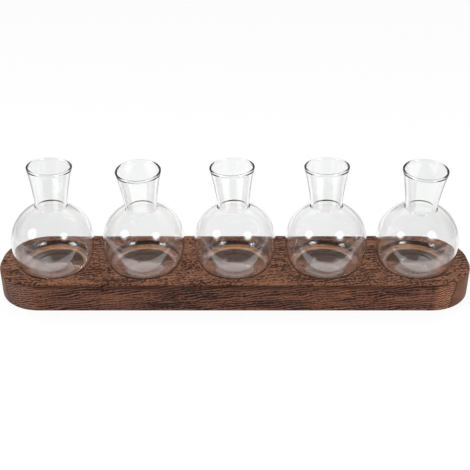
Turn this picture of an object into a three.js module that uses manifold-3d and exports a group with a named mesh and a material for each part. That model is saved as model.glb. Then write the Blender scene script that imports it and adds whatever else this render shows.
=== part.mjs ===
// Five blown glass bud vases standing in the bored recesses of one wooden tray.
// Millimetres, +Z up. The tray runs along X and its front faces -Y.
// The origin is the middle of the tray's underside.

import * as THREE from 'three';
import { mergeVertices } from 'three/addons/utils/BufferGeometryUtils.js';
import Module from 'manifold-3d';

const wasm = await Module();
wasm.setup();

// Vase: a ball with steep lower sides and a pushed-up base, and a flared neck that meets it at a crease
const BULB_RADIUS = 39.4;
const BULB_MIDDLE = 28.1;
const SIDE_DROP = 18.5;
const BASE_RADIUS = 26.5;
const BASE_SPREAD = 7.7;
const PUSH_UP_RADIUS = 19;
const PUSH_UP_HEIGHT = 2.9;
const NECK_FOOT_RADIUS = 14.6;
const NECK_FOOT_SLOPE = 0.09;
const NECK_HEIGHT = 40;
const MOUTH_RADIUS = 21;
const GLASS_WALL = 1.6;
const BASE_THICKNESS = 2;

// Row of vases, with each hand-blown neck's lean in degrees to the right and to the front
const VASE_COUNT = 5;
const BULB_GAP = 9.2;
const NECK_LEANS = [
  { right: 2.8, front: -2.4 },
  { right: -0.7, front: 3.9 },
  { right: -2.0, front: -1.6 },
  { right: -1.9, front: -2.8 },
  { right: -0.2, front: 2.8 },
];

// Tray: a plank with round corners, eased edges and one blind recess for each vase
const RECESS_DEPTH = 6.6;
const RECESS_CLEARANCE = 1;
const SEAT_GAP = 0.3;
const FLOOR_THICKNESS = 23.4;
const SIDE_WALL = 10.1;
const END_WALL = 16.1;
const END_FLAT = 9;
const EDGE_RADIUS = 2.4;
const RECESS_EASE = 0.5;

// Fineness of the round stretches
const TURN_SEGMENTS = 32;
const BULB_SEGMENTS = 7;
const SIDE_SEGMENTS = 7;
const PUSH_UP_SEGMENTS = 3;
const NECK_SEGMENTS = 4;
const LIP_SEGMENTS = 4;
const RECESS_SEGMENTS = 48;
const CORNER_DIVISIONS = 8;
const EDGE_SEGMENTS = 3;

// Sizes that follow from the ones above
const vasePitch = 2 * BULB_RADIUS + BULB_GAP;
const trayHeight = FLOOR_THICKNESS + RECESS_DEPTH;
const vaseSeat = FLOOR_THICKNESS + SEAT_GAP;
const recessRadius = sideRadiusAt(trayHeight - vaseSeat) + RECESS_CLEARANCE;
const trayWidth = 2 * (recessRadius + SIDE_WALL);
const trayLength = (VASE_COUNT - 1) * vasePitch + 2 * (recessRadius + END_WALL);
const cornerRadius = (trayWidth - END_FLAT) / 2;

const woodMaterial = () => new THREE.MeshStandardMaterial({
  name: 'wood', color: 0x6d4a38, roughness: 0.6, metalness: 0,
});
const glassMaterial = () => new THREE.MeshStandardMaterial({
  name: 'glass', color: 0xeef1f1, roughness: 0.03, metalness: 0, transparent: true, opacity: 0.35,
});

// Points of a circular arc in a lathe profile, both ends included
function arcPoints(centreRadius, centreHeight, radius, startAngle, endAngle, segments) {
  const points = [];
  for (let step = 0; step <= segments; step += 1) {
    const angle = THREE.MathUtils.lerp(startAngle, endAngle, step / segments);
    const across = centreRadius + radius * Math.cos(angle);
    const height = centreHeight + radius * Math.sin(angle);
    points.push(new THREE.Vector2(across, height));
  }
  return points;
}

// The side of the bulb, outside or an inset within it, from the edge of a floor up to the bulb's middle
function sideCurve(inset, floorHeight) {
  const widest = BULB_RADIUS - inset;
  const straightEnd = BULB_MIDDLE - SIDE_DROP;
  return new THREE.CubicBezierCurve(
    new THREE.Vector2(BASE_RADIUS, floorHeight),
    new THREE.Vector2(BASE_RADIUS + BASE_SPREAD - inset / 2, floorHeight),
    new THREE.Vector2(widest, straightEnd + inset / 2),
    new THREE.Vector2(widest, BULB_MIDDLE),
  );
}

// The outer radius of the bulb's side at a height below its middle
function sideRadiusAt(height) {
  const points = sideCurve(0, 0).getPoints(500);
  return points.find((point) => point.y >= height).x;
}

// The bulb, outside or an inset within it, from the middle of its floor up to the neck's foot
function bulbPoints(inset, floorHeight) {
  const radius = BULB_RADIUS - inset;
  const footAngle = Math.acos((NECK_FOOT_RADIUS - inset) / radius);
  const crown = floorHeight + PUSH_UP_HEIGHT;
  const pushUp = new THREE.QuadraticBezierCurve(
    new THREE.Vector2(0, crown),
    new THREE.Vector2(PUSH_UP_RADIUS / 2, crown),
    new THREE.Vector2(PUSH_UP_RADIUS, floorHeight),
  );
  return [
    ...pushUp.getPoints(PUSH_UP_SEGMENTS),
    ...sideCurve(inset, floorHeight).getPoints(SIDE_SEGMENTS),
    ...arcPoints(0, BULB_MIDDLE, radius, 0, footAngle, BULB_SEGMENTS).slice(1),
  ];
}

// The closed profile of one vase: up the outside, over the rounded lip and down the inside
function vaseProfile() {
  const outerBulb = bulbPoints(0, 0);
  const innerBulb = bulbPoints(GLASS_WALL, BASE_THICKNESS);
  const foot = outerBulb[outerBulb.length - 1];
  const mouth = new THREE.Vector2(MOUTH_RADIUS, foot.y + NECK_HEIGHT);
  const halfHeight = NECK_HEIGHT / 2;
  const bend = new THREE.Vector2(foot.x + NECK_FOOT_SLOPE * halfHeight, foot.y + halfHeight);
  const outerNeck = new THREE.QuadraticBezierCurve(foot, bend, mouth).getPoints(NECK_SEGMENTS).slice(1);
  const innerNeck = outerNeck.map((point) => new THREE.Vector2(point.x - GLASS_WALL, point.y));
  const lipRadius = GLASS_WALL / 2;
  const lip = arcPoints(MOUTH_RADIUS - lipRadius, mouth.y, lipRadius, 0, Math.PI, LIP_SEGMENTS);
  return [
    ...outerBulb,
    ...outerNeck,
    ...lip.slice(1, -1),
    ...innerNeck.reverse(),
    ...innerBulb.reverse(),
  ];
}

// Turns the glass about the bulb's middle: not at all at the base, fully from the middle up
function leanNeck(geometry, lean) {
  const turn = new THREE.Vector3(lean.front, lean.right, 0).multiplyScalar(THREE.MathUtils.DEG2RAD);
  const fullAngle = turn.length();
  const axis = turn.normalize();
  const still = PUSH_UP_HEIGHT + BASE_THICKNESS;
  const point = new THREE.Vector3();
  const position = geometry.getAttribute('position');
  for (let index = 0; index < position.count; index += 1) {
    point.fromBufferAttribute(position, index);
    const share = THREE.MathUtils.smoothstep(point.z, still, BULB_MIDDLE);
    point.z -= BULB_MIDDLE;
    point.applyAxisAngle(axis, share * fullAngle);
    point.z += BULB_MIDDLE;
    position.setXYZ(index, point.x, point.y, point.z);
  }
  geometry.computeVertexNormals();
}

function latheAboutZ(profile, segments) {
  return new THREE.LatheGeometry(profile, segments).rotateX(Math.PI / 2);
}

function makeVase(index) {
  const geometry = latheAboutZ(vaseProfile(), TURN_SEGMENTS);
  leanNeck(geometry, NECK_LEANS[index % NECK_LEANS.length]);
  const vase = new THREE.Mesh(geometry, glassMaterial());
  vase.name = `glass_vase_${index + 1}`;
  vase.position.set(vaseX(index), 0, vaseSeat);
  return vase;
}

function vaseX(index) {
  return (index - (VASE_COUNT - 1) / 2) * vasePitch;
}

function solidFrom(geometry) {
  const bare = geometry.clone();
  bare.deleteAttribute('normal');
  bare.deleteAttribute('uv');
  const merged = mergeVertices(bare);
  const vertProperties = new Float32Array(merged.getAttribute('position').array);
  const triVerts = new Uint32Array(merged.getIndex().array);
  return new wasm.Manifold(new wasm.Mesh({ numProp: 3, vertProperties, triVerts }));
}

function geometryFrom(solid) {
  const mesh = solid.getMesh();
  const geometry = new THREE.BufferGeometry();
  geometry.setAttribute('position', new THREE.BufferAttribute(mesh.vertProperties, mesh.numProp));
  geometry.setIndex(new THREE.BufferAttribute(mesh.triVerts, 1));
  geometry.computeVertexNormals();
  return geometry;
}

// The plank's plan: a rectangle whose corner arcs almost meet at each end
function plankOutline() {
  const endX = trayLength / 2 - cornerRadius;
  const sideY = trayWidth / 2 - cornerRadius;
  const quarter = Math.PI / 2;
  const outline = new THREE.Shape();
  outline.absarc(endX, sideY, cornerRadius, 0, quarter, false);
  outline.absarc(-endX, sideY, cornerRadius, quarter, 2 * quarter, false);
  outline.absarc(-endX, -sideY, cornerRadius, 2 * quarter, 3 * quarter, false);
  outline.absarc(endX, -sideY, cornerRadius, 3 * quarter, 4 * quarter, false);
  outline.closePath();
  return outline;
}

function plankGeometry() {
  const plank = new THREE.ExtrudeGeometry(plankOutline(), {
    depth: trayHeight - 2 * EDGE_RADIUS,
    curveSegments: CORNER_DIVISIONS,
    bevelEnabled: true,
    bevelThickness: EDGE_RADIUS,
    bevelSize: EDGE_RADIUS,
    bevelOffset: -EDGE_RADIUS,
    bevelSegments: EDGE_SEGMENTS,
  });
  return plank.translate(0, 0, EDGE_RADIUS);
}

// The space that one recess takes from the plank, with its eased rim
function recessGeometry() {
  const above = trayHeight + EDGE_RADIUS;
  const rimRadius = recessRadius + RECESS_EASE;
  const profile = [
    new THREE.Vector2(0, FLOOR_THICKNESS),
    new THREE.Vector2(recessRadius, FLOOR_THICKNESS),
    new THREE.Vector2(recessRadius, trayHeight - RECESS_EASE),
    new THREE.Vector2(rimRadius, trayHeight),
    new THREE.Vector2(rimRadius, above),
    new THREE.Vector2(0, above),
  ];
  return latheAboutZ(profile, RECESS_SEGMENTS);
}

function makeTray() {
  let solid = solidFrom(plankGeometry());
  for (let index = 0; index < VASE_COUNT; index += 1) {
    const recess = recessGeometry().translate(vaseX(index), 0, 0);
    solid = solid.subtract(solidFrom(recess));
  }
  const tray = new THREE.Mesh(geometryFrom(solid), woodMaterial());
  tray.name = 'wood_tray';
  return tray;
}

const vaseSet = new THREE.Group();
vaseSet.add(makeTray());
for (let index = 0; index < VASE_COUNT; index += 1) {
  vaseSet.add(makeVase(index));
}

export default vaseSet;
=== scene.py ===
import math

import bpy
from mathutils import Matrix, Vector


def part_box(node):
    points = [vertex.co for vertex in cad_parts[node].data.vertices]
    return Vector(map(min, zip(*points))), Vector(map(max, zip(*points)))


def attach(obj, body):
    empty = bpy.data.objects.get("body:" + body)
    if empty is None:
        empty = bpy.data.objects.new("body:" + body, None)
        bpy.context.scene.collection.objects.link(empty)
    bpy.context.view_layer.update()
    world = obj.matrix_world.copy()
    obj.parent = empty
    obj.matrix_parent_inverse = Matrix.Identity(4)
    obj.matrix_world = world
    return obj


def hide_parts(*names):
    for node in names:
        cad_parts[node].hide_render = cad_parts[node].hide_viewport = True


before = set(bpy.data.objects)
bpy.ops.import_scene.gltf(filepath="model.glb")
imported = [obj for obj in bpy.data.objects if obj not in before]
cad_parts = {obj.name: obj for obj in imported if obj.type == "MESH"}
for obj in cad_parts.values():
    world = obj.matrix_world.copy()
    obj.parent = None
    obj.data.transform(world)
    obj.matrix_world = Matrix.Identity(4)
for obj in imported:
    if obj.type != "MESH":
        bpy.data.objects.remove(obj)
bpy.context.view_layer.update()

MILLIMETRE = 0.001

# Vase: a ball with steep lower sides and a pushed-up base, and a flared neck that meets it at a crease
VASE_SIZES = {
    "Bulb Radius": 39.4 * MILLIMETRE,
    "Bulb Middle": 28.1 * MILLIMETRE,
    "Side Drop": 18.5 * MILLIMETRE,
    "Base Radius": 26.5 * MILLIMETRE,
    "Base Spread": 7.7 * MILLIMETRE,
    "Neck Foot Radius": 14.6 * MILLIMETRE,
    "Neck Foot Slope": 0.09,
    "Crease Reach": 0.4 * MILLIMETRE,
    "Neck Height": 40.0 * MILLIMETRE,
    "Mouth Radius": 21.0 * MILLIMETRE,
    "Glass Wall": 1.6 * MILLIMETRE,
    "Base Thickness": 2.0 * MILLIMETRE,
    "Push Up Radius": 19.0 * MILLIMETRE,
    "Push Up Height": 2.9 * MILLIMETRE,
    "Lip Radius": 0.95 * MILLIMETRE,
    "Wave Height": 0.16 * MILLIMETRE,
    "Wave Length": 38.0 * MILLIMETRE,
}
# Lean of each hand-blown neck, in degrees to the right and to the front
NECK_LEANS = ((2.8, -2.4), (-0.7, 3.9), (-2.0, -1.6), (-1.9, -2.8), (-0.2, 2.8))
# How much further the crease between the ball and the neck is rounded inside, in millimetres
INNER_CREASES = (2.2, 2.2, 2.8, 2.6, 2.8)
# Where the bead of the lip begins on the neck, as an angle from level
LIP_START = math.radians(-45.0)
BULB_GAP = 9.2 * MILLIMETRE
SEAT_GAP = 0.3 * MILLIMETRE

# Tray: a plank with round corners, eased edges and one blind recess for each vase
RECESS_DEPTH = 6.6 * MILLIMETRE
RECESS_RADIUS = 36.45 * MILLIMETRE
RECESS_EASE = 0.5 * MILLIMETRE
RECESS_CORNER = 1.0 * MILLIMETRE
END_FLAT = 9.0 * MILLIMETRE
EDGE_RADIUS = 2.4 * MILLIMETRE

# Fineness of the round stretches and of the joins
VASE_TURNS = 128
BALL_POINTS = 32
NECK_POINTS = 20
ROUND_POINTS = 9
LIP_POINTS = 17
RECESS_TURNS = 128
CORNER_POINTS = 40
EDGE_POINTS = 9
MERGE_DISTANCE = 2e-6
SHARP_ANGLE = math.radians(35.0)

tray_low, tray_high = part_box("wood_tray")
TRAY_LENGTH = tray_high.x - tray_low.x
TRAY_WIDTH = tray_high.y - tray_low.y
TRAY_HEIGHT = tray_high.z - tray_low.z
CORNER_RADIUS = (TRAY_WIDTH - END_FLAT) / 2
VASE_COUNT = len(NECK_LEANS)
VASE_PITCH = 2 * VASE_SIZES["Bulb Radius"] + BULB_GAP
VASE_SEAT = TRAY_HEIGHT - RECESS_DEPTH + SEAT_GAP


class Wire:
    """One output of a node in a tree. Arithmetic on it adds Math nodes to the same tree."""

    def __init__(self, tree, socket=None):
        self.tree = tree
        self.socket = socket

    def node(self, kind, settings=None, inputs=None, output=0):
        """Adds a node, sets its settings and then its inputs, and gives one of its outputs."""
        made = self.tree.nodes.new(kind)
        for name, value in (settings or {}).items():
            setattr(made, name, value)
        for key, value in (inputs or {}).items():
            wires = value if isinstance(value, list) else [value]
            for wire in wires:
                if isinstance(wire, Wire):
                    self.tree.links.new(wire.socket, made.inputs[key])
                else:
                    made.inputs[key].default_value = wire
        return Wire(self.tree, made.outputs[output] if made.outputs else None)

    def out(self, name):
        """Another output of the same node."""
        return Wire(self.tree, self.socket.node.outputs[name])

    def math(self, operation, *values):
        """A Math node on numbers."""
        return self.node("ShaderNodeMath", {"operation": operation}, dict(enumerate(values)))

    def vector(self, operation, *values):
        """A Vector Math node on vectors."""
        return self.node("ShaderNodeVectorMath", {"operation": operation}, dict(enumerate(values)))

    def scaled(self, factor):
        """This vector times a number."""
        return self.node("ShaderNodeVectorMath", {"operation": "SCALE"}, {"Vector": self, "Scale": factor})

    def __add__(self, other):
        return self.math("ADD", self, other)

    def __radd__(self, other):
        return self.math("ADD", other, self)

    def __sub__(self, other):
        return self.math("SUBTRACT", self, other)

    def __rsub__(self, other):
        return self.math("SUBTRACT", other, self)

    def __mul__(self, other):
        return self.math("MULTIPLY", self, other)

    def __rmul__(self, other):
        return self.math("MULTIPLY", other, self)

    def __truediv__(self, other):
        return self.math("DIVIDE", self, other)

    def __rtruediv__(self, other):
        return self.math("DIVIDE", other, self)

    def __pow__(self, other):
        return self.math("POWER", self, other)

    def __neg__(self):
        return self.math("MULTIPLY", self, -1.0)

    def __abs__(self):
        return self.math("ABSOLUTE", self)

    def ramp(self, start, end):
        """0 below start, 1 above end, and smooth between them. It falls where start is above end."""
        inputs = {"Value": self, "From Min": start, "From Max": end}
        return self.node("ShaderNodeMapRange", {"interpolation_type": "SMOOTHSTEP"}, inputs)

    def ramp_from(self, place, fade):
        """A ramp whose start and end are counted from a place."""
        start, end = fade
        return self.ramp(place + start, place + end)

    def blend(self, first, second):
        """The colour first where this is 0 and second where it is 1."""
        settings = {"data_type": "RGBA", "clamp_factor": True}
        return self.node("ShaderNodeMix", settings, {0: self, 6: first, 7: second}, 2)


def combine(wire, x, y, z):
    """A vector of three numbers."""
    return wire.node("ShaderNodeCombineXYZ", None, {0: x, 1: y, 2: z})


def split(vector):
    """The three numbers of a vector."""
    parts = vector.node("ShaderNodeSeparateXYZ", None, {0: vector})
    return tuple(parts.out(name) for name in "XYZ")


def group_inputs(tree, sizes, vectors=()):
    """Names the tree's inputs, gives them their first values, and returns each as a Wire."""
    for name, value in sizes.items():
        socket = tree.interface.new_socket(name, in_out="INPUT", socket_type="NodeSocketFloat")
        socket.default_value = value
    for name in vectors:
        tree.interface.new_socket(name, in_out="INPUT", socket_type="NodeSocketVector")
    source = tree.nodes.new("NodeGroupInput")
    return {socket.name: Wire(tree, socket) for socket in source.outputs if socket.name}


def group_output(tree, geometry, material):
    """Ends a tree: instances made real, the material set, and the result handed out."""
    tree.interface.new_socket("Geometry", in_out="OUTPUT", socket_type="NodeSocketGeometry")
    real = geometry.node("GeometryNodeRealizeInstances", None, {"Geometry": geometry})
    painted = real.node("GeometryNodeSetMaterial", None, {"Geometry": real, "Material": material})
    sink = tree.nodes.new("NodeGroupOutput")
    tree.links.new(painted.socket, sink.inputs[0])


def turned(profile, spine, turns):
    """Turns a profile about Z. Its X counts from a circle of the spine's radius, and its Y is height."""
    path = profile.node("GeometryNodeCurvePrimitiveCircle", None, {"Resolution": turns, "Radius": spine})
    skin = profile.node("GeometryNodeCurveToMesh", None, {"Curve": path, "Profile Curve": profile})
    upright = skin.node("GeometryNodeTransform", None, {"Geometry": skin, "Rotation": (math.pi, 0.0, 0.0)})
    return skin.node("GeometryNodeMergeByDistance", None, {"Geometry": upright, "Distance": MERGE_DISTANCE})


class Profile:
    """A lathe profile drawn stretch by stretch, from radius and height."""

    def __init__(self, wire, spine):
        self.wire = wire
        self.spine = spine
        self.stretches = []

    def spot(self, radius, height):
        return combine(self.wire, radius - self.spine, height, 0.0)

    def line(self, start, end):
        inputs = {"Start": self.spot(*start), "End": self.spot(*end)}
        self.stretches.append(self.wire.node("GeometryNodeCurvePrimitiveLine", {"mode": "POINTS"}, inputs))

    def bend(self, start, middle, end, points):
        inputs = {
            "Resolution": points,
            "Start": self.spot(*start),
            "Middle": self.spot(*middle),
            "End": self.spot(*end),
        }
        self.stretches.append(self.wire.node("GeometryNodeCurveQuadraticBezier", None, inputs))

    def sweep(self, start, first, second, end, points):
        inputs = {
            "Resolution": points,
            "Start": self.spot(*start),
            "Start Handle": self.spot(*first),
            "End Handle": self.spot(*second),
            "End": self.spot(*end),
        }
        self.stretches.append(self.wire.node("GeometryNodeCurvePrimitiveBezierSegment", None, inputs))

    def arc(self, centre, radius, start, end, points):
        inputs = {
            "Resolution": points,
            "Radius": radius,
            "Start Angle": start,
            "Sweep Angle": end - start,
        }
        curve = self.wire.node("GeometryNodeCurveArc", {"mode": "RADIUS"}, inputs)
        place = {"Geometry": curve, "Translation": self.spot(*centre)}
        self.stretches.append(self.wire.node("GeometryNodeTransform", None, place))

    def joined(self):
        return self.wire.node("GeometryNodeJoinGeometry", None, {"Geometry": self.stretches})


def upper_half(profile, middle, radius, foot_radius, reach):
    """Up the ball to just short of the crease. Gives the last point there and the crease's height."""
    zero = 0.0 * radius
    foot_angle = radius.math("ARCCOSINE", foot_radius / radius)
    last_angle = foot_angle - reach / radius
    profile.arc((zero, middle), radius, zero, last_angle, BALL_POINTS)
    last_height = middle + radius * radius.math("SINE", last_angle)
    last = (radius * radius.math("COSINE", last_angle), last_height)
    return last, middle + radius * radius.math("SINE", foot_angle)


def vase_tree(glass):
    """One vase, drawn as an outer and an inner profile that are turned together about Z."""
    tree = bpy.data.node_groups.new("blown_vase", "GeometryNodeTree")
    sizes = dict(VASE_SIZES)
    sizes.update({"Lean Angle": 0.0, "Inner Crease": 0.0, "Wave Seed": 0.0})
    given = group_inputs(tree, sizes, ("Lean Axis", "Place"))
    bulb = given["Bulb Radius"]
    middle = given["Bulb Middle"]
    side_end = middle - given["Side Drop"]
    base = given["Base Radius"]
    spread = given["Base Spread"]
    wall = given["Glass Wall"]
    foot = given["Neck Foot Radius"]
    reach = given["Crease Reach"]
    slope = given["Neck Foot Slope"]
    mouth = given["Mouth Radius"]
    neck = given["Neck Height"]
    zero = 0.0 * bulb

    # Outside: pushed-up base, round heel and side, ball, crease, flared neck and lip
    push = given["Push Up Radius"]
    rise = given["Push Up Height"]
    outer = Profile(bulb, foot)
    outer.bend((zero, rise), (push / 2.0, rise), (push, zero), BALL_POINTS)
    outer.line((push, zero), (base, zero))
    outer.sweep((base, zero), (base + spread, zero), (bulb, side_end), (bulb, middle), BALL_POINTS)
    last, foot_height = upper_half(outer, middle, bulb, foot, reach)
    neck_start = (foot + slope * reach, foot_height + reach)
    neck_bend = (foot + slope * neck / 2.0, foot_height + neck / 2.0)
    lip = given["Lip Radius"]
    lip_centre = (mouth - wall / 2.0, foot_height + neck + wall / 2.0 - lip)
    neck_end = (mouth, lip_centre[1] - lip)
    outer.bend(last, (foot, foot_height), neck_start, ROUND_POINTS)
    outer.bend(neck_start, neck_bend, neck_end, NECK_POINTS)
    lip_drop = lip_centre[1] + lip * math.sin(LIP_START)
    lip_side = lip * math.cos(LIP_START)
    outer.line(neck_end, (lip_centre[0] + lip_side, lip_drop))
    outer.arc(lip_centre, lip, zero + LIP_START, math.pi - LIP_START, LIP_POINTS)
    outer.line((lip_centre[0] - lip_side, lip_drop), (mouth - wall, neck_end[1]))

    # Inside: the pushed-up floor, the side, the ball and the neck
    inner = Profile(bulb, foot)
    floor = given["Base Thickness"]
    inside = bulb - wall
    low_handle = (base + spread - wall / 2.0, floor)
    high_handle = (inside, side_end + wall / 2.0)
    inner.bend((zero, rise + floor), (push / 2.0, rise + floor), (push, floor), BALL_POINTS)
    inner.line((push, floor), (base, floor))
    inner.sweep((base, floor), low_handle, high_handle, (inside, middle), BALL_POINTS)
    inner_crease = given["Inner Crease"]
    inner_last, inner_height = upper_half(inner, middle, inside, foot - wall, reach + inner_crease)
    inner_start = (neck_start[0] - wall, neck_start[1] + inner_crease)
    inner.bend(inner_last, (foot - wall, inner_height), inner_start, ROUND_POINTS)
    inner.bend(inner_start, (neck_bend[0] - wall, neck_bend[1]), (mouth - wall, neck_end[1]), NECK_POINTS)
    lining = inner.joined()
    lining = lining.node("GeometryNodeReverseCurve", None, {"Curve": lining})
    both = lining.node("GeometryNodeJoinGeometry", None, {"Geometry": [outer.joined(), lining]})
    skin = hand_blown(turned(both, foot, VASE_TURNS), given)
    skin = skin.node("GeometryNodeSetShadeSmooth", None, {"Geometry": skin})
    group_output(tree, skin, glass)
    return tree


def hand_blown(skin, given):
    """Leans the neck about the ball's centre and waves the glass a little, but not at the base."""
    middle = given["Bulb Middle"]
    place = skin.node("GeometryNodeInputPosition")
    height = split(place)[2]
    share = height.ramp(given["Push Up Height"] + given["Base Thickness"], middle)
    lean = {
        "Vector": place,
        "Center": combine(place, 0.0, 0.0, middle),
        "Axis": given["Lean Axis"],
        "Angle": given["Lean Angle"] * share,
    }
    leaned = place.node("ShaderNodeVectorRotate", {"rotation_type": "AXIS_ANGLE"}, lean)
    wave = {"Vector": place, "W": given["Wave Seed"], "Scale": 1.0 / given["Wave Length"], "Detail": 0.0}
    wave = place.node("ShaderNodeTexNoise", {"noise_dimensions": "4D"}, wave, "Color")
    wave = wave.vector("SUBTRACT", wave, (0.5, 0.5, 0.5))
    wave = wave.scaled(2.0 * share * given["Wave Height"])
    moved = leaned.vector("ADD", leaned, wave)
    moved = moved.vector("ADD", moved, given["Place"])
    return skin.node("GeometryNodeSetPosition", None, {"Geometry": skin, "Position": moved})


def run_tree(name, mesh, tree, values):
    """Runs a tree on a mesh with the given inputs and returns a plain mesh object."""
    helper = bpy.data.objects.new(name + "_helper", mesh)
    bpy.context.scene.collection.objects.link(helper)
    modifier = helper.modifiers.new("tree", "NODES")
    modifier.node_group = tree
    for item in tree.interface.items_tree:
        if item.in_out == "INPUT" and item.name in values:
            modifier[item.identifier] = values[item.name]
    seen = helper.evaluated_get(bpy.context.evaluated_depsgraph_get())
    plain = bpy.data.meshes.new_from_object(seen)
    plain.name = name
    bpy.data.objects.remove(helper)
    piece = bpy.data.objects.new(name, plain)
    bpy.context.scene.collection.objects.link(piece)
    return piece


def make_vases(glass):
    """The row of vases, each with its own lean, crease and waves."""
    tree = vase_tree(glass)
    for index, (right, front) in enumerate(NECK_LEANS):
        turn = Vector((math.radians(front), math.radians(right), 0.0))
        values = {
            "Lean Angle": turn.length,
            "Lean Axis": turn.normalized(),
            "Inner Crease": INNER_CREASES[index] * MILLIMETRE,
            "Wave Seed": float(index),
            "Place": Vector(((index - (VASE_COUNT - 1) / 2) * VASE_PITCH, 0.0, VASE_SEAT)),
        }
        number = index + 1
        vase = run_tree(f"blown_vase_{number}", bpy.data.meshes.new("empty"), tree, values)
        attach(vase, f"vase_{number}")
        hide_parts(f"glass_vase_{number}")
        # Clear glass lets the lamps through to the wood
        vase.visible_shadow = False
        vase.visible_diffuse = False


def plank_ring(inset, height):
    """One closed ring of points round the plank, at an inset from its outline."""
    radius = CORNER_RADIUS - inset
    end_x = TRAY_LENGTH / 2 - CORNER_RADIUS
    side_y = TRAY_WIDTH / 2 - CORNER_RADIUS
    ring = []
    for corner, (across, along) in enumerate(((1, 1), (-1, 1), (-1, -1), (1, -1))):
        for step in range(CORNER_POINTS):
            angle = math.pi / 2 * (corner + step / (CORNER_POINTS - 1))
            x = across * end_x + radius * math.cos(angle)
            y = along * side_y + radius * math.sin(angle)
            ring.append((x, y, height))
    return ring


def plank_mesh():
    """The plank without its top face: a flat underside and straight sides between two eased edges."""
    steps = [math.pi / 2 * step / (EDGE_POINTS - 1) for step in range(EDGE_POINTS)]
    edge = [(EDGE_RADIUS * (1 - math.sin(angle)), EDGE_RADIUS * (1 - math.cos(angle))) for angle in steps]
    levels = edge + [(inset, TRAY_HEIGHT - height) for inset, height in reversed(edge)]
    points = []
    for inset, height in levels:
        points.extend(plank_ring(inset, height))
    count = len(points) // len(levels)
    faces = [list(range(count))[::-1]]
    for level in range(len(levels) - 1):
        for place in range(count):
            below = level * count + place
            beside = level * count + (place + 1) % count
            faces.append([below, beside, beside + count, below + count])
    mesh = bpy.data.meshes.new("plank")
    mesh.from_pydata(points, [], faces)
    return mesh


def bore_tree(wood):
    """Closes the plank's top round one bored recess for each vase, with its eased rim, wall and floor."""
    tree = bpy.data.node_groups.new("bored_recesses", "GeometryNodeTree")
    tree.interface.new_socket("Plank", in_out="INPUT", socket_type="NodeSocketGeometry")
    sizes = {
        "Recess Radius": RECESS_RADIUS,
        "Recess Ease": RECESS_EASE,
        "Recess Corner": RECESS_CORNER,
        "Floor Height": TRAY_HEIGHT - RECESS_DEPTH,
        "Plank Height": TRAY_HEIGHT,
        "Pitch": VASE_PITCH,
    }
    given = group_inputs(tree, sizes)
    plank = given["Plank"]
    radius = given["Recess Radius"]
    ease = given["Recess Ease"]
    corner = given["Recess Corner"]
    floor = given["Floor Height"]
    top = given["Plank Height"]
    rim = radius + ease
    zero = 0.0 * radius
    start = combine(radius, given["Pitch"] * -(VASE_COUNT - 1) / 2, 0.0, 0.0)
    row = {"Count": VASE_COUNT, "Start Location": start, "Offset": combine(radius, given["Pitch"], 0.0, 0.0)}
    row = plank.node("GeometryNodeMeshLine", None, row)

    def at_each_vase(geometry):
        placed = row.node("GeometryNodeInstanceOnPoints", None, {"Points": row, "Instance": geometry})
        return row.node("GeometryNodeRealizeInstances", None, {"Geometry": placed})

    profile = Profile(radius, radius)
    profile.arc((rim, top - ease), ease, math.pi / 2 + zero, math.pi, ROUND_POINTS)
    profile.line((radius, top - ease), (radius, floor + corner))
    profile.arc((radius - corner, floor + corner), corner, zero, -math.pi / 2, ROUND_POINTS)
    profile.line((radius - corner, floor), (zero, floor))
    recesses = at_each_vase(turned(profile.joined(), radius, RECESS_TURNS))

    sides = plank.node("GeometryNodeInputMeshEdgeNeighbors")
    outline = plank.node("GeometryNodeMeshToCurve", None, {"Mesh": plank, "Selection": 2.0 - sides})
    circle = {"Resolution": RECESS_TURNS, "Radius": rim}
    holes = at_each_vase(plank.node("GeometryNodeCurvePrimitiveCircle", None, circle))
    holed = plank.node("GeometryNodeJoinGeometry", None, {"Geometry": [outline, holes]})
    holed = plank.node("GeometryNodeFillCurve", {"mode": "TRIANGLES"}, {"Curve": holed})
    lift = {"Geometry": holed, "Translation": combine(top, 0.0, 0.0, top)}
    holed = plank.node("GeometryNodeTransform", None, lift)
    bored = plank.node("GeometryNodeJoinGeometry", None, {"Geometry": [plank, holed, recesses]})
    bored = plank.node("GeometryNodeMergeByDistance", None, {"Geometry": bored, "Distance": MERGE_DISTANCE})
    bored = plank.node("GeometryNodeSetShadeSmooth", None, {"Geometry": bored})
    group_output(tree, bored, wood)
    return tree


def make_tray(wood):
    """The bored plank, smooth except where its faces meet at a sharp angle."""
    tray = run_tree("bored_tray", plank_mesh(), bore_tree(wood), {})
    tray.data.set_sharp_from_angle(angle=SHARP_ANGLE)
    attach(tray, "tray")
    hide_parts("wood_tray")


def new_material(name):
    """An empty material, and a Wire to make its nodes with."""
    material = bpy.data.materials.new(name)
    material.use_nodes = True
    material.node_tree.nodes.clear()
    return material, Wire(material.node_tree)


def finish_material(wire, shader):
    wire.node("ShaderNodeOutputMaterial", None, {"Surface": shader})


# Glass: clear, with a faint tint
GLASS_TINT = (0.985, 0.99, 0.99, 1.0)
GLASS_IOR = 1.5


def clear_glass():
    material, wire = new_material("clear_glass")
    glass = {
        "Base Color": GLASS_TINT,
        "Roughness": 0.0,
        "IOR": GLASS_IOR,
        "Transmission Weight": 1.0,
    }
    finish_material(wire, wire.node("ShaderNodeBsdfPrincipled", None, glass))
    return material


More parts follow.
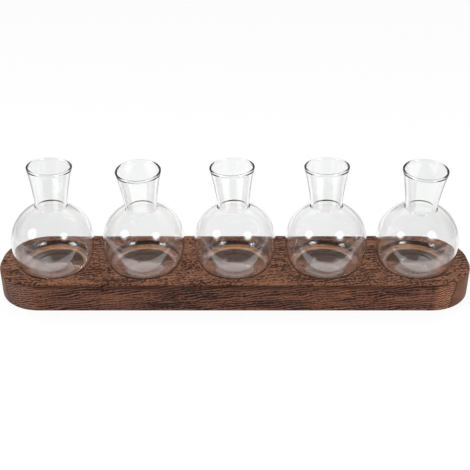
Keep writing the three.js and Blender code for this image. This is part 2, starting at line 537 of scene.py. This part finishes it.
# Wood noises: length, width and height of the patches in millimetres, then detail and seed
NOISES = {
    "long wander": ((90.0, 40.0, 40.0), 1.0, 0.0),
    "short wander": ((26.0, 14.0, 14.0), 1.0, 3.0),
    "flecks": ((2.6, 1.6, 0.9), 0.5, 0.0),
    "streaks": ((60.0, 4.0, 3.2), 2.0, 1.0),
    "patches": ((48.0, 13.0, 9.0), 1.5, 2.0),
    "pores": ((5.0, 0.9, 0.9), 1.0, 9.0),
    "line waver": ((22.0, 12.0, 9.0), 1.5, 5.0),
    "line breaks": ((13.0, 5.0, 3.5), 0.0, 5.5),
    "ruddy": ((9.0, 3.0, 2.0), 1.0, 12.0),
    "grey": ((38.0, 18.0, 11.0), 1.5, 13.0),
    "seam waver": ((30.0, 20.0, 12.0), 1.0, 4.0),
    "edge drift": ((36.0, 36.0, 36.0), 2.0, 8.0),
}
NOISE_ROUGHNESS = 0.55

# Wood browns, darkest and lightest, of each part of the tray
# Plank: the top's browns, then the sides' darker browns, which are painted shade
LIT_TOP_BROWNS = ((0.044, 0.0140, 0.0065, 1), (0.380, 0.173, 0.102, 1))
PAINTED_SHADE_SIDE_BROWNS = ((0.010, 0.0035, 0.0025, 1), (0.280, 0.116, 0.071, 1))
LEFT_HATCH_BROWNS = ((0.010, 0.0040, 0.0030, 1), (0.390, 0.180, 0.123, 1))
RIGHT_HATCH_BROWNS = ((0.060, 0.0200, 0.0080, 1), (0.520, 0.240, 0.142, 1))
SMOOTH_END_BROWNS = ((0.115, 0.042, 0.018, 1), (0.270, 0.117, 0.063, 1))
# Recess floors: painted shade under the glass, plain brown in front, painted light beside and behind the
# glass
PAINTED_SHADE_FLOOR_BROWNS = ((0.040, 0.0130, 0.0060, 1), (0.150, 0.063, 0.036, 1))
FRONT_FLOOR_BROWNS = ((0.110, 0.041, 0.021, 1), (0.280, 0.128, 0.079, 1))
PAINTED_LIGHT_SIDE_FLOOR_BROWNS = ((0.200, 0.079, 0.046, 1), (0.520, 0.255, 0.165, 1))
PAINTED_LIGHT_BACK_FLOOR_BROWNS = ((0.340, 0.115, 0.033, 1), (0.800, 0.370, 0.135, 1))

# Wood colours of single features
RUDDY = (0.400, 0.150, 0.060, 1)
GREY = (0.070, 0.045, 0.036, 1)
SEAM = (0.034, 0.0150, 0.0100, 1)
UNDER_EDGE = (0.026, 0.0120, 0.0090, 1)
WORN_EDGE = (0.380, 0.155, 0.072, 1)
# Painted light: a caustic line on the recess floor round the back of the glass's base
PAINTED_CAUSTIC_LINE = (0.62, 0.36, 0.17, 1)
# Painted light on the front and side walls of a recess, painted shade on its far wall
PAINTED_LIGHT_FRONT_WALL = (0.260, 0.115, 0.072, 1)
PAINTED_SHADE_FAR_WALL = (0.040, 0.0155, 0.0105, 1)
PORE = (0.026, 0.0115, 0.0085, 1)

# How strongly each of those features covers the brown, and the noise over which it comes in
RUDDY_SHARE = 0.45
RUDDY_NOISE = (0.04, 0.20)
GREY_SHARE = 0.30
GREY_NOISE = (0.06, 0.20)
GREY_TONE = 1.2
SEAM_SHARE = 0.7
PORE_SHARE = 0.7
PORE_NOISE = (0.13, 0.22)

# How far a face has to turn, from 0 for flat to 1 for upright or endwise, to look like an end, edge or side
END_TURN = (0.0, 0.16)
EDGE_TURN = (0.10, 0.45)
SIDE_TURN = (0.3, 0.9)

# Grain: how far it wanders in millimetres, and how much it rises along the plank
LONG_WANDER = 7.0
SHORT_WANDER = 2.0
GRAIN_RISE = 0.05

# Thin light lines of the grain: gaps in millimetres, turns a millimetre along the plank, and strengths
LINE_GAP = 2.7
HATCH_GAP = 2.2
LINE_GAP_ACROSS = 4.4
LINE_RISE = 0.045
LINE_WAVER = 2.4
LINE_STRENGTH = 0.8
LINE_BREAKS = 3.0
LINE_LIGHT = 2.2
LINE_DARK = 0.8
TOP_LINES = 0.30
SIDE_LINES = 0.53
TOP_FLECKS = 3.4
SIDE_FLECKS = 2.2
HATCH_LINES = 0.85

# Ends, in millimetres: the seam's distance from the tray's middle, how it leans, wavers and fades
LEFT_SEAM = 217.0
RIGHT_SEAM = 206.5
SEAM_LEAN = 0.2
SEAM_WAVER = 3.0
SEAM_STEP = (-0.5, 0.5)
SEAM_FADE = (1.4, 0.3)
RIGHT_HALF = (-1.0, 1.0)

# Top edge, in millimetres: heights where the side darkens, and distances from the middle where it is worn
UNDER_EDGE_HEIGHTS = (23.0, 27.0)
UNDER_EDGE_DRIFT = 4.0
UNDER_EDGE_AT_ENDS = 0.25
WORN_EDGE_ASIDE = (38.5, 43.0)

# Recesses, in millimetres, where their painted shade and painted light fall: from the axis (reach), beside
# it, and behind it
PAINTED_SHADE_FLOOR_REACH = (28.0, 26.5)
PAINTED_SHADE_FLOOR_BEHIND = (2.0, 9.0)
PAINTED_LIGHT_SIDE_FLOOR_BESIDE = (14.0, 25.0)
PAINTED_LIGHT_BACK_FLOOR_BEHIND = (22.0, 31.0)
PAINTED_CAUSTIC_LINE_INSIDE = (29.2, 29.9)
PAINTED_CAUSTIC_LINE_OUTSIDE = (30.9, 30.1)
PAINTED_CAUSTIC_LINE_BEHIND = (-2.0, 12.0)
# Painted shade on the far wall of a recess begins this far behind its axis
PAINTED_SHADE_FAR_WALL_BEHIND = (8.0, 27.0)

# Fades of a recess, in millimetres: from its rim, the row's ends, the tray's top and the recess floor
RIM_FADE = (0.1, -0.2)
ROW_END_FADE = (0.0, -2.0)
TOP_FADE = (0.0, -0.8)
BELOW_FLOOR_FADE = (-2.0, -1.0)
WALL_FADE = (0.3, 1.6)

# Surface of the wood
WOOD_ROUGHNESS = 0.52
PORE_ROUGHNESS = 0.2
STREAK_ROUGHNESS = 0.15
WOOD_IOR = 1.5
WOOD_SHINE = 0.14
BUMP_STRENGTH = 0.5
BUMP_DISTANCE = 0.3 * MILLIMETRE
FLECK_BUMP = 0.6
LINE_BUMP = 0.1
PORE_BUMP = 0.5


class Wood:
    """A point of the plank: its place in millimetres, which way it faces, and the figure of its grain."""

    def __init__(self, wire):
        self.wire = wire
        self.place = wire.node("ShaderNodeTexCoord", None, None, "Object").scaled(1 / MILLIMETRE)
        self.x, self.y, self.z = split(self.place)
        facing = split(wire.node("ShaderNodeNewGeometry", None, None, "Normal"))
        upright = 1.0 - abs(facing[2])
        self.end = abs(facing[0]).ramp(*END_TURN)
        self.edge = upright.ramp(*EDGE_TURN)
        self.side = upright.ramp(*SIDE_TURN)
        # Grain that wanders and rises a little along the plank
        wander = LONG_WANDER * self.noise("long wander") + SHORT_WANDER * self.noise("short wander")
        self.grain = combine(wire, self.x, self.y + wander, self.z + wander - GRAIN_RISE * self.x)
        self.flecks = self.noise("flecks", self.grain)
        self.streaks = self.noise("streaks", self.grain)
        self.patches = self.noise("patches")
        self.pores = self.noise("pores", self.grain).ramp(*PORE_NOISE)
        self.lines = self.lined(LINE_GAP)

    def noise(self, kind, source=None, shift=0.0):
        """Soft noise about 0, in the tray's own directions or those of another source."""
        lengths, detail, seed = NOISES[kind]
        shares = tuple(1 / length for length in lengths)
        inputs = {
            "Vector": self.wire.vector("MULTIPLY", source or self.place, shares),
            "W": seed + shift,
            "Scale": 1.0,
            "Detail": detail,
            "Roughness": NOISE_ROUGHNESS,
        }
        return self.wire.node("ShaderNodeTexNoise", {"noise_dimensions": "4D"}, inputs, "Fac") - 0.5

    def lined(self, gap, slant=1.0, shift=0.0):
        """Thin lines, a gap apart in height, that rise along the grain, waver and break."""
        turns = self.z / gap + slant * self.y / LINE_GAP_ACROSS - LINE_RISE * self.x
        turns = turns + LINE_WAVER * self.noise("line waver", shift=shift)
        strength = LINE_STRENGTH + LINE_BREAKS * self.noise("line breaks", shift=shift)
        ridges = 0.5 + 0.5 * self.wire.math("SINE", 2.0 * math.pi * turns)
        return strength * (LINE_LIGHT * ridges ** 2.0 - LINE_DARK)

    def tone(self, middle, **weights):
        """A tone about the middle one, moved by each named figure of the grain times its weight."""
        tone = middle
        for figure, weight in weights.items():
            tone = tone + weight * getattr(self, figure)
        return tone


def plank_colour(wood):
    """Lined and flecked brown with ruddy and grey patches, and painted shade that makes the sides darker than
    the top.
    """
    lines = TOP_LINES + (SIDE_LINES - TOP_LINES) * wood.side
    flecks = TOP_FLECKS + (SIDE_FLECKS - TOP_FLECKS) * wood.side
    tone = wood.tone(middle=0.46, streaks=1.6, patches=2.0, lines=lines, flecks=flecks)
    # Painted shade: the sides take darker browns than the top
    brown = wood.side.blend(tone.blend(*LIT_TOP_BROWNS), tone.blend(*PAINTED_SHADE_SIDE_BROWNS))
    ruddy = wood.noise("ruddy", wood.grain).ramp(*RUDDY_NOISE)
    brown = (RUDDY_SHARE * ruddy * tone).blend(brown, RUDDY)
    grey = wood.noise("grey").ramp(*GREY_NOISE)
    return (GREY_SHARE * grey * (GREY_TONE - tone)).blend(brown, GREY)


def end_colour(wood):
    """End grain where the corners turn: a hatched layer, then a dark seam and smoother brown beyond it."""
    woven = wood.lined(HATCH_GAP) + wood.lined(HATCH_GAP, slant=-1.0, shift=1.0)
    tone = wood.tone(middle=0.5, flecks=1.6, patches=1.0) + HATCH_LINES * woven
    to_right = wood.x.ramp(*RIGHT_HALF)
    hatch = to_right.blend(tone.blend(*LEFT_HATCH_BROWNS), tone.blend(*RIGHT_HATCH_BROWNS))
    smooth = wood.tone(middle=0.5, flecks=1.6, patches=1.5).blend(*SMOOTH_END_BROWNS)
    lean = SEAM_LEAN * (wood.z - TRAY_HEIGHT / MILLIMETRE / 2)
    past_seam = abs(wood.x) - LEFT_SEAM + (LEFT_SEAM - RIGHT_SEAM) * to_right
    past_seam = past_seam - lean + SEAM_WAVER * wood.noise("seam waver")
    ends = past_seam.ramp(*SEAM_STEP).blend(hatch, smooth)
    return (SEAM_SHARE * abs(past_seam).ramp(*SEAM_FADE)).blend(ends, SEAM)


def with_top_edge(wood, brown):
    """Darkens the side in a broken line under the top edge, and wears the edge itself lighter."""
    drift = UNDER_EDGE_DRIFT * wood.noise("edge drift")
    under = (wood.z + drift).ramp(*UNDER_EDGE_HEIGHTS) * wood.edge
    under = under * (1.0 - (1.0 - UNDER_EDGE_AT_ENDS) * wood.end)
    brown = (under * wood.tone(middle=0.45, patches=1.8, flecks=1.4)).blend(brown, UNDER_EDGE)
    worn = abs(wood.y).ramp(*WORN_EDGE_ASIDE) * (1.0 - wood.edge)
    return (worn * wood.tone(middle=0.30, patches=2.0, flecks=1.6)).blend(brown, WORN_EDGE)


def with_recesses(wood, brown):
    """Recesses with painted shade and painted light: a shaded far wall and lit front and side walls, and
    floors shaded under the glass and lit round its base.
    """
    y = wood.y
    z = wood.z
    pitch = VASE_PITCH / MILLIMETRE
    beside = pitch * (wood.wire.math("FRACT", wood.x / pitch + 0.5) - 0.5)
    reach = (beside ** 2.0 + y ** 2.0) ** 0.5
    mottled = wood.tone(middle=0.5, streaks=1.5, flecks=1.8)
    # Painted light: the floor beside and behind the glass is brighter than in front of it
    aside = abs(beside).ramp(*PAINTED_LIGHT_SIDE_FLOOR_BESIDE)
    floor = aside.blend(mottled.blend(*FRONT_FLOOR_BROWNS), mottled.blend(*PAINTED_LIGHT_SIDE_FLOOR_BROWNS))
    floor = y.ramp(*PAINTED_LIGHT_BACK_FLOOR_BEHIND).blend(floor, mottled.blend(*PAINTED_LIGHT_BACK_FLOOR_BROWNS))
    # Painted shade: the floor under the middle and back of the glass is darkened
    painted_shade_under_glass = reach.ramp(*PAINTED_SHADE_FLOOR_REACH) * y.ramp(*PAINTED_SHADE_FLOOR_BEHIND)
    floor = painted_shade_under_glass.blend(floor, mottled.blend(*PAINTED_SHADE_FLOOR_BROWNS))
    # Painted light: a caustic line on the floor round the back of the glass's base
    painted_caustic_line = reach.ramp(*PAINTED_CAUSTIC_LINE_INSIDE) * reach.ramp(*PAINTED_CAUSTIC_LINE_OUTSIDE) * y.ramp(*PAINTED_CAUSTIC_LINE_BEHIND)
    floor = (painted_caustic_line * wood.tone(middle=0.8, patches=2.0)).blend(floor, PAINTED_CAUSTIC_LINE)
    # Painted shade on the far wall, painted light on the front and side walls
    wall = y.ramp(*PAINTED_SHADE_FAR_WALL_BEHIND).blend(PAINTED_LIGHT_FRONT_WALL, PAINTED_SHADE_FAR_WALL)
    floor_height = (TRAY_HEIGHT - RECESS_DEPTH) / MILLIMETRE
    recess = z.ramp_from(floor_height, WALL_FADE).blend(floor, wall)
    return inside_recess(wood, reach, floor_height).blend(brown, recess)


def inside_recess(wood, reach, floor_height):
    """1 on the wall and floor of each recess and 0 elsewhere."""
    rim = (RECESS_RADIUS + RECESS_EASE) / MILLIMETRE
    top = TRAY_HEIGHT / MILLIMETRE
    row_end = VASE_COUNT * VASE_PITCH / MILLIMETRE / 2
    inside = reach.ramp_from(rim, RIM_FADE) * abs(wood.x).ramp_from(row_end, ROW_END_FADE)
    return inside * wood.z.ramp_from(top, TOP_FADE) * wood.z.ramp_from(floor_height, BELOW_FLOOR_FADE)


def dark_wood():
    """Brown stained wood: grain along X, end grain at both ends, worn top edges, painted shade on the plank's
    sides, and recesses with painted shade and painted light.
    """
    material, wire = new_material("dark_brown_wood")
    wood = Wood(wire)
    brown = (wood.end * wood.side).blend(plank_colour(wood), end_colour(wood))
    brown = with_recesses(wood, with_top_edge(wood, brown))
    brown = (PORE_SHARE * wood.pores).blend(brown, PORE)
    height = FLECK_BUMP * wood.flecks + LINE_BUMP * wood.lines - PORE_BUMP * wood.pores
    bump = {"Height": height, "Strength": BUMP_STRENGTH, "Distance": BUMP_DISTANCE}
    surface = {
        "Base Color": brown,
        "Roughness": WOOD_ROUGHNESS + PORE_ROUGHNESS * wood.pores + STREAK_ROUGHNESS * wood.streaks,
        "IOR": WOOD_IOR,
        "Specular IOR Level": WOOD_SHINE,
        "Normal": wire.node("ShaderNodeBump", None, bump),
    }
    finish_material(wire, wire.node("ShaderNodeBsdfPrincipled", None, surface))
    return material


# Stage: white paper, two round softboxes, and a pale room with a bright back and a dark camera side
FLOOR_RADIUS = 9.0
FLOOR_DROP = 0.3 * MILLIMETRE
FLOOR_GLOW = 0.87
LAMPLIT_PAPER = (0.85, 0.85, 0.85, 1.0)
GLOWING_PAPER = (0.2, 0.2, 0.2, 1.0)
WHITE = (1.0, 1.0, 1.0, 1.0)
SOFTBOX_RADIUS = 0.50
SOFTBOX_DISTANCE = 1.3
SOFTBOX_STRENGTH = 18.5
SOFTBOX_FALLOFF = 3.0
SOFTBOX_AIM = Vector((0.0, 0.0, 0.05))
SOFTBOX_LEFT = (-0.783, -0.398, 0.478)
SOFTBOX_RIGHT = (0.587, -0.604, 0.538)

# Paper seen in or through glass: how much dimmer it is, and from where, in metres to each side
GLASS_DIMMING = 0.015
NEAR_DIMMING = 0.08
NEAR_DIMMING_ASIDE = (0.06, 0.24)
FAR_DIMMING = 0.7
FAR_DIMMING_ASIDE = (0.85, 1.15)

# Paper mirrored in glass: where it ends, gains or dims, in metres ahead of the tray's middle and to each side
PAPER_END_LEVEL = 0.03
PAPER_END_AHEAD = (0.112, 0.124)
PAPER_END_ASIDE = (0.60, 0.40)
MIRROR_GAIN = 0.08
FRONT_GAIN = 0.75
FRONT_AHEAD = (0.02, 0.07)
NECK_DIMMING = 0.42
NECK_NEAR_AHEAD = (-0.14, -0.16)
NECK_FAR_AHEAD = (-0.215, -0.195)
NECK_ASIDE = (0.22, 0.20)
OUTER_DIMMING = 0.45
OUTER_AHEAD = (-0.09, -0.14)
OUTER_ASIDE = (0.22, 0.28)

# Room mirrored in glass: levels, and where they change in a direction's X, Y and Z or in degrees
SIDE_LEVEL = 1.1
CEILING_LEVEL = 0.27
CEILING_TILT = 0.3
CEILING_RISE = (0.42, 0.80)
CAMERA_SIDE_LEVEL = 0.15
CAMERA_SIDE_LIFT = 12.0
CAMERA_SIDE_CONE = (36.0, 22.0)
BACK_LOW_LEVEL = 0.14
BACK_LOW_NARROWING = 2.6
BACK_PANEL = 1.0
BACK_PANEL_NARROWING = 0.7
BACK_PANEL_LIFT = (35.0, 40.0)
BACK_FADE = (0.0, 0.25)
FAR_SIDE_DIMMING = 0.65
FAR_SIDE_TURN = (0.55, 0.90)

# Surround seen directly or through glass: how it dims with height, and what makes it white to the camera
SKY_DIMMING = 0.6
SKY_RISE = (0.30, 0.60)
CAMERA_GAIN = 0.25


def disc_mesh(name, radius, corners=96):
    points = []
    for corner in range(corners):
        angle = 2 * math.pi * corner / corners
        points.append((radius * math.cos(angle), radius * math.sin(angle), 0.0))
    mesh = bpy.data.meshes.new(name)
    mesh.from_pydata(points, [], [list(range(corners))])
    return mesh


def stage_object(name, mesh, material):
    mesh.materials.append(material)
    thing = bpy.data.objects.new(name, mesh)
    bpy.context.scene.collection.objects.link(thing)
    return thing


def paper_glow(wire, path):
    """How brightly the paper glows for the camera, through glass and mirrored in it."""
    x, y = split(wire.node("ShaderNodeTexCoord", None, None, "Object"))[:2]
    aside = abs(x)
    ahead = -y
    fall = NEAR_DIMMING * aside.ramp(*NEAR_DIMMING_ASIDE) + FAR_DIMMING * aside.ramp(*FAR_DIMMING_ASIDE)
    fall = (fall + GLASS_DIMMING) * (1.0 - path.out("Is Camera Ray"))
    # Glass is crossed in two steps a wall, so a ray of odd depth was mirrored: it sees where the paper ends
    mirrored = wire.math("MODULO", path.out("Ray Depth"), 2.0)
    paper_end = ahead.ramp(*PAPER_END_AHEAD) * aside.ramp(*PAPER_END_ASIDE)
    glow = FLOOR_GLOW * (1.0 - fall) * (1.0 - (1.0 - PAPER_END_LEVEL) * mirrored * paper_end)
    # The necks' sides mirror a dim band behind the tray, and the end bulbs' outer sides dim paper beside it
    band = ahead.ramp(*NECK_NEAR_AHEAD) * ahead.ramp(*NECK_FAR_AHEAD) * aside.ramp(*NECK_ASIDE)
    outer = aside.ramp(*OUTER_ASIDE) * ahead.ramp(*OUTER_AHEAD)
    gain = MIRROR_GAIN + FRONT_GAIN * ahead.ramp(*FRONT_AHEAD) - NECK_DIMMING * band - OUTER_DIMMING * outer
    return glow * (1.0 + mirrored * gain)


def make_floor():
    """Paper that is plain in the lamps' light, and glows where the camera sees it, also in the glass."""
    material, wire = new_material("white_paper")
    path = wire.node("ShaderNodeLightPath")
    seen = wire.math("MAXIMUM", path.out("Is Camera Ray"), path.out("Is Glossy Ray"))
    seen = wire.math("MAXIMUM", seen, path.out("Is Transmission Ray"))
    plain = wire.node("ShaderNodeBsdfDiffuse", None, {"Color": LAMPLIT_PAPER})
    shaded = wire.node("ShaderNodeBsdfDiffuse", None, {"Color": GLOWING_PAPER})
    lit = wire.node("ShaderNodeEmission", None, {"Color": WHITE, "Strength": paper_glow(wire, path)})
    white = wire.node("ShaderNodeAddShader", None, {0: shaded, 1: lit})
    finish_material(wire, wire.node("ShaderNodeMixShader", None, {0: seen, 1: plain, 2: white}))
    floor = stage_object("floor", disc_mesh("floor", FLOOR_RADIUS), material)
    floor.location.z = -FLOOR_DROP


def make_softbox(name, direction):
    """A round lamp, brightest in its middle, that the camera sees only mirrored."""
    material, wire = new_material(name)
    place = wire.node("ShaderNodeTexCoord", None, None, "Object")
    reach = wire.node("ShaderNodeVectorMath", {"operation": "LENGTH"}, {0: place}, "Value")
    strength = SOFTBOX_STRENGTH * (reach / SOFTBOX_RADIUS).ramp(1.0, 0.0) ** SOFTBOX_FALLOFF
    finish_material(wire, wire.node("ShaderNodeEmission", None, {"Strength": strength}))
    softbox = stage_object(name, disc_mesh(name, SOFTBOX_RADIUS), material)
    towards = Vector(direction).normalized()
    softbox.location = towards * SOFTBOX_DISTANCE + SOFTBOX_AIM
    softbox.rotation_euler = (-towards).to_track_quat("Z", "Y").to_euler()
    softbox.visible_camera = False


def room_level(wire, way):
    """The room's brightness in a direction: dark above and on the camera's side, with a panel at the back."""
    x, y, z = split(way)
    ceiling = (z - CEILING_TILT * y).ramp(*CEILING_RISE)
    level = SIDE_LEVEL - (SIDE_LEVEL - CEILING_LEVEL) * ceiling
    camera_lift = math.radians(CAMERA_SIDE_LIFT)
    to_camera = (0.0, -math.cos(camera_lift), math.sin(camera_lift))
    along = wire.node("ShaderNodeVectorMath", {"operation": "DOT_PRODUCT"}, {0: way, 1: to_camera}, "Value")
    camera_side = along.ramp(*(math.cos(math.radians(angle)) for angle in CAMERA_SIDE_CONE))
    level = level * (1.0 - (1.0 - CAMERA_SIDE_LEVEL) * camera_side)
    # High panel at the back, with a dimmer wall below it
    high = z.ramp(*(math.sin(math.radians(angle)) for angle in BACK_PANEL_LIFT))
    panel = (y - BACK_PANEL_NARROWING * abs(x)).ramp(*BACK_FADE) * high
    low_wall = (y - BACK_LOW_NARROWING * abs(x)).ramp(*BACK_FADE) * (1.0 - high)
    level = level * (1.0 - (1.0 - BACK_LOW_LEVEL) * low_wall) + BACK_PANEL * panel
    return level * (1.0 - FAR_SIDE_DIMMING * abs(x).ramp(*FAR_SIDE_TURN))


def make_world():
    """A white surround, in which mirrored rays see the room."""
    world = bpy.data.worlds.new("studio")
    bpy.context.scene.world = world
    world.use_nodes = True
    world.node_tree.nodes.clear()
    wire = Wire(world.node_tree)
    way = wire.node("ShaderNodeTexCoord", None, None, "Generated")
    path = wire.node("ShaderNodeLightPath")
    # Here the depth counts one step more: rays of odd depth look straight or through the glass and see white
    mirrored = 1.0 - wire.math("MODULO", path.out("Ray Depth"), 2.0)
    room = wire.node("ShaderNodeBackground", None, {"Strength": room_level(wire, way)})
    pale = 1.0 - SKY_DIMMING * split(way)[2].ramp(*SKY_RISE) + CAMERA_GAIN * path.out("Is Camera Ray")
    white = wire.node("ShaderNodeBackground", None, {"Strength": pale})
    sky = wire.node("ShaderNodeMixShader", None, {0: mirrored, 1: white, 2: room})
    wire.node("ShaderNodeOutputWorld", None, {"Surface": sky})


# Camera, fitted to the photograph: focal length and centre in pixels of the square image
IMAGE_SIDE = 470.0
FOCAL_PIXELS = 847.26
CENTRE_ROW = 233.57
SENSOR_WIDTH = 36.0
CAMERA_DISTANCE = 0.8166
CAMERA_LIFT = math.radians(30.07)
CAMERA_AIM = Vector((0.0001, 0.0, 0.0587))


def make_camera():
    """A pinhole camera that looks at the row from the front and above."""
    data = bpy.data.cameras.new("camera")
    camera = bpy.data.objects.new("camera", data)
    bpy.context.scene.collection.objects.link(camera)
    bpy.context.scene.camera = camera
    data.sensor_width = SENSOR_WIDTH
    data.lens = FOCAL_PIXELS * SENSOR_WIDTH / IMAGE_SIDE
    data.shift_y = (CENTRE_ROW - IMAGE_SIDE / 2) / IMAGE_SIDE
    back = Vector((0.0, -math.cos(CAMERA_LIFT), math.sin(CAMERA_LIFT)))
    camera.location = CAMERA_AIM + CAMERA_DISTANCE * back
    camera.rotation_euler = (-back).to_track_quat("-Z", "Y").to_euler()


make_camera()
make_vases(clear_glass())
make_tray(dark_wood())
make_floor()
make_softbox("softbox_left", SOFTBOX_LEFT)
make_softbox("softbox_right", SOFTBOX_RIGHT)
make_world()
bpy.context.scene.view_settings.view_transform = "Standard"
